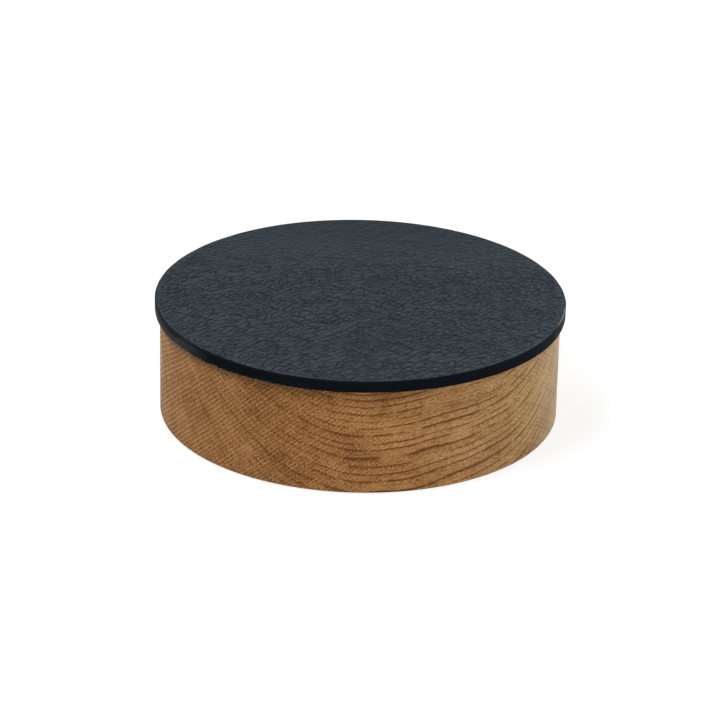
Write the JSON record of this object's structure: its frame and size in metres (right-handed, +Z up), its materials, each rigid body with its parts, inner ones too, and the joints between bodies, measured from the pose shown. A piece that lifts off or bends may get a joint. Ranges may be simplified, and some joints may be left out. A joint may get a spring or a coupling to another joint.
{
  "type": "round keepsake box",
  "caption": "Low round turned oak box with a flat leather-faced lid that lifts straight off, a locating disc under the lid and a felt disc in its foot.",
  "frame": {"origin": "centre of the underside of the base felt, on the surface that the box stands on", "axes": "+Z up along the axis that the box is turned about, -Y towards the viewer of the picture, +X to the viewer's right"},
  "size_m": [0.12, 0.12, 0.0354],
  "materials": {
    "oak": "sanded and oiled oak, satin",
    "oak_disc": "sanded oak, matte",
    "felt": "pressed wool felt, charcoal",
    "suede": "fine suede split, slate",
    "backing": "thin smooth backing split",
    "board": "pressed fibre board",
    "leather": "pebbled full-grain leather, dark slate",
    "edge_paint": "smooth satin edge paint, near black"
  },
  "bodies": {
    "box": {"oak_body": "oak", "base_felt": "felt", "floor_lining": "suede"},
    "lid": {"lid_backing": "backing", "lid_board": "board", "lid_leather": "leather", "lid_edge_coat": "edge_paint", "locating_disc": "oak_disc", "plug_lining": "suede"}
  },
  "joints": [
    {"name": "lid_lift", "type": "slide", "parent": "box", "child": "lid", "axis": [0, 0, 1], "range_m": [0, 0.08]}
  ]
}
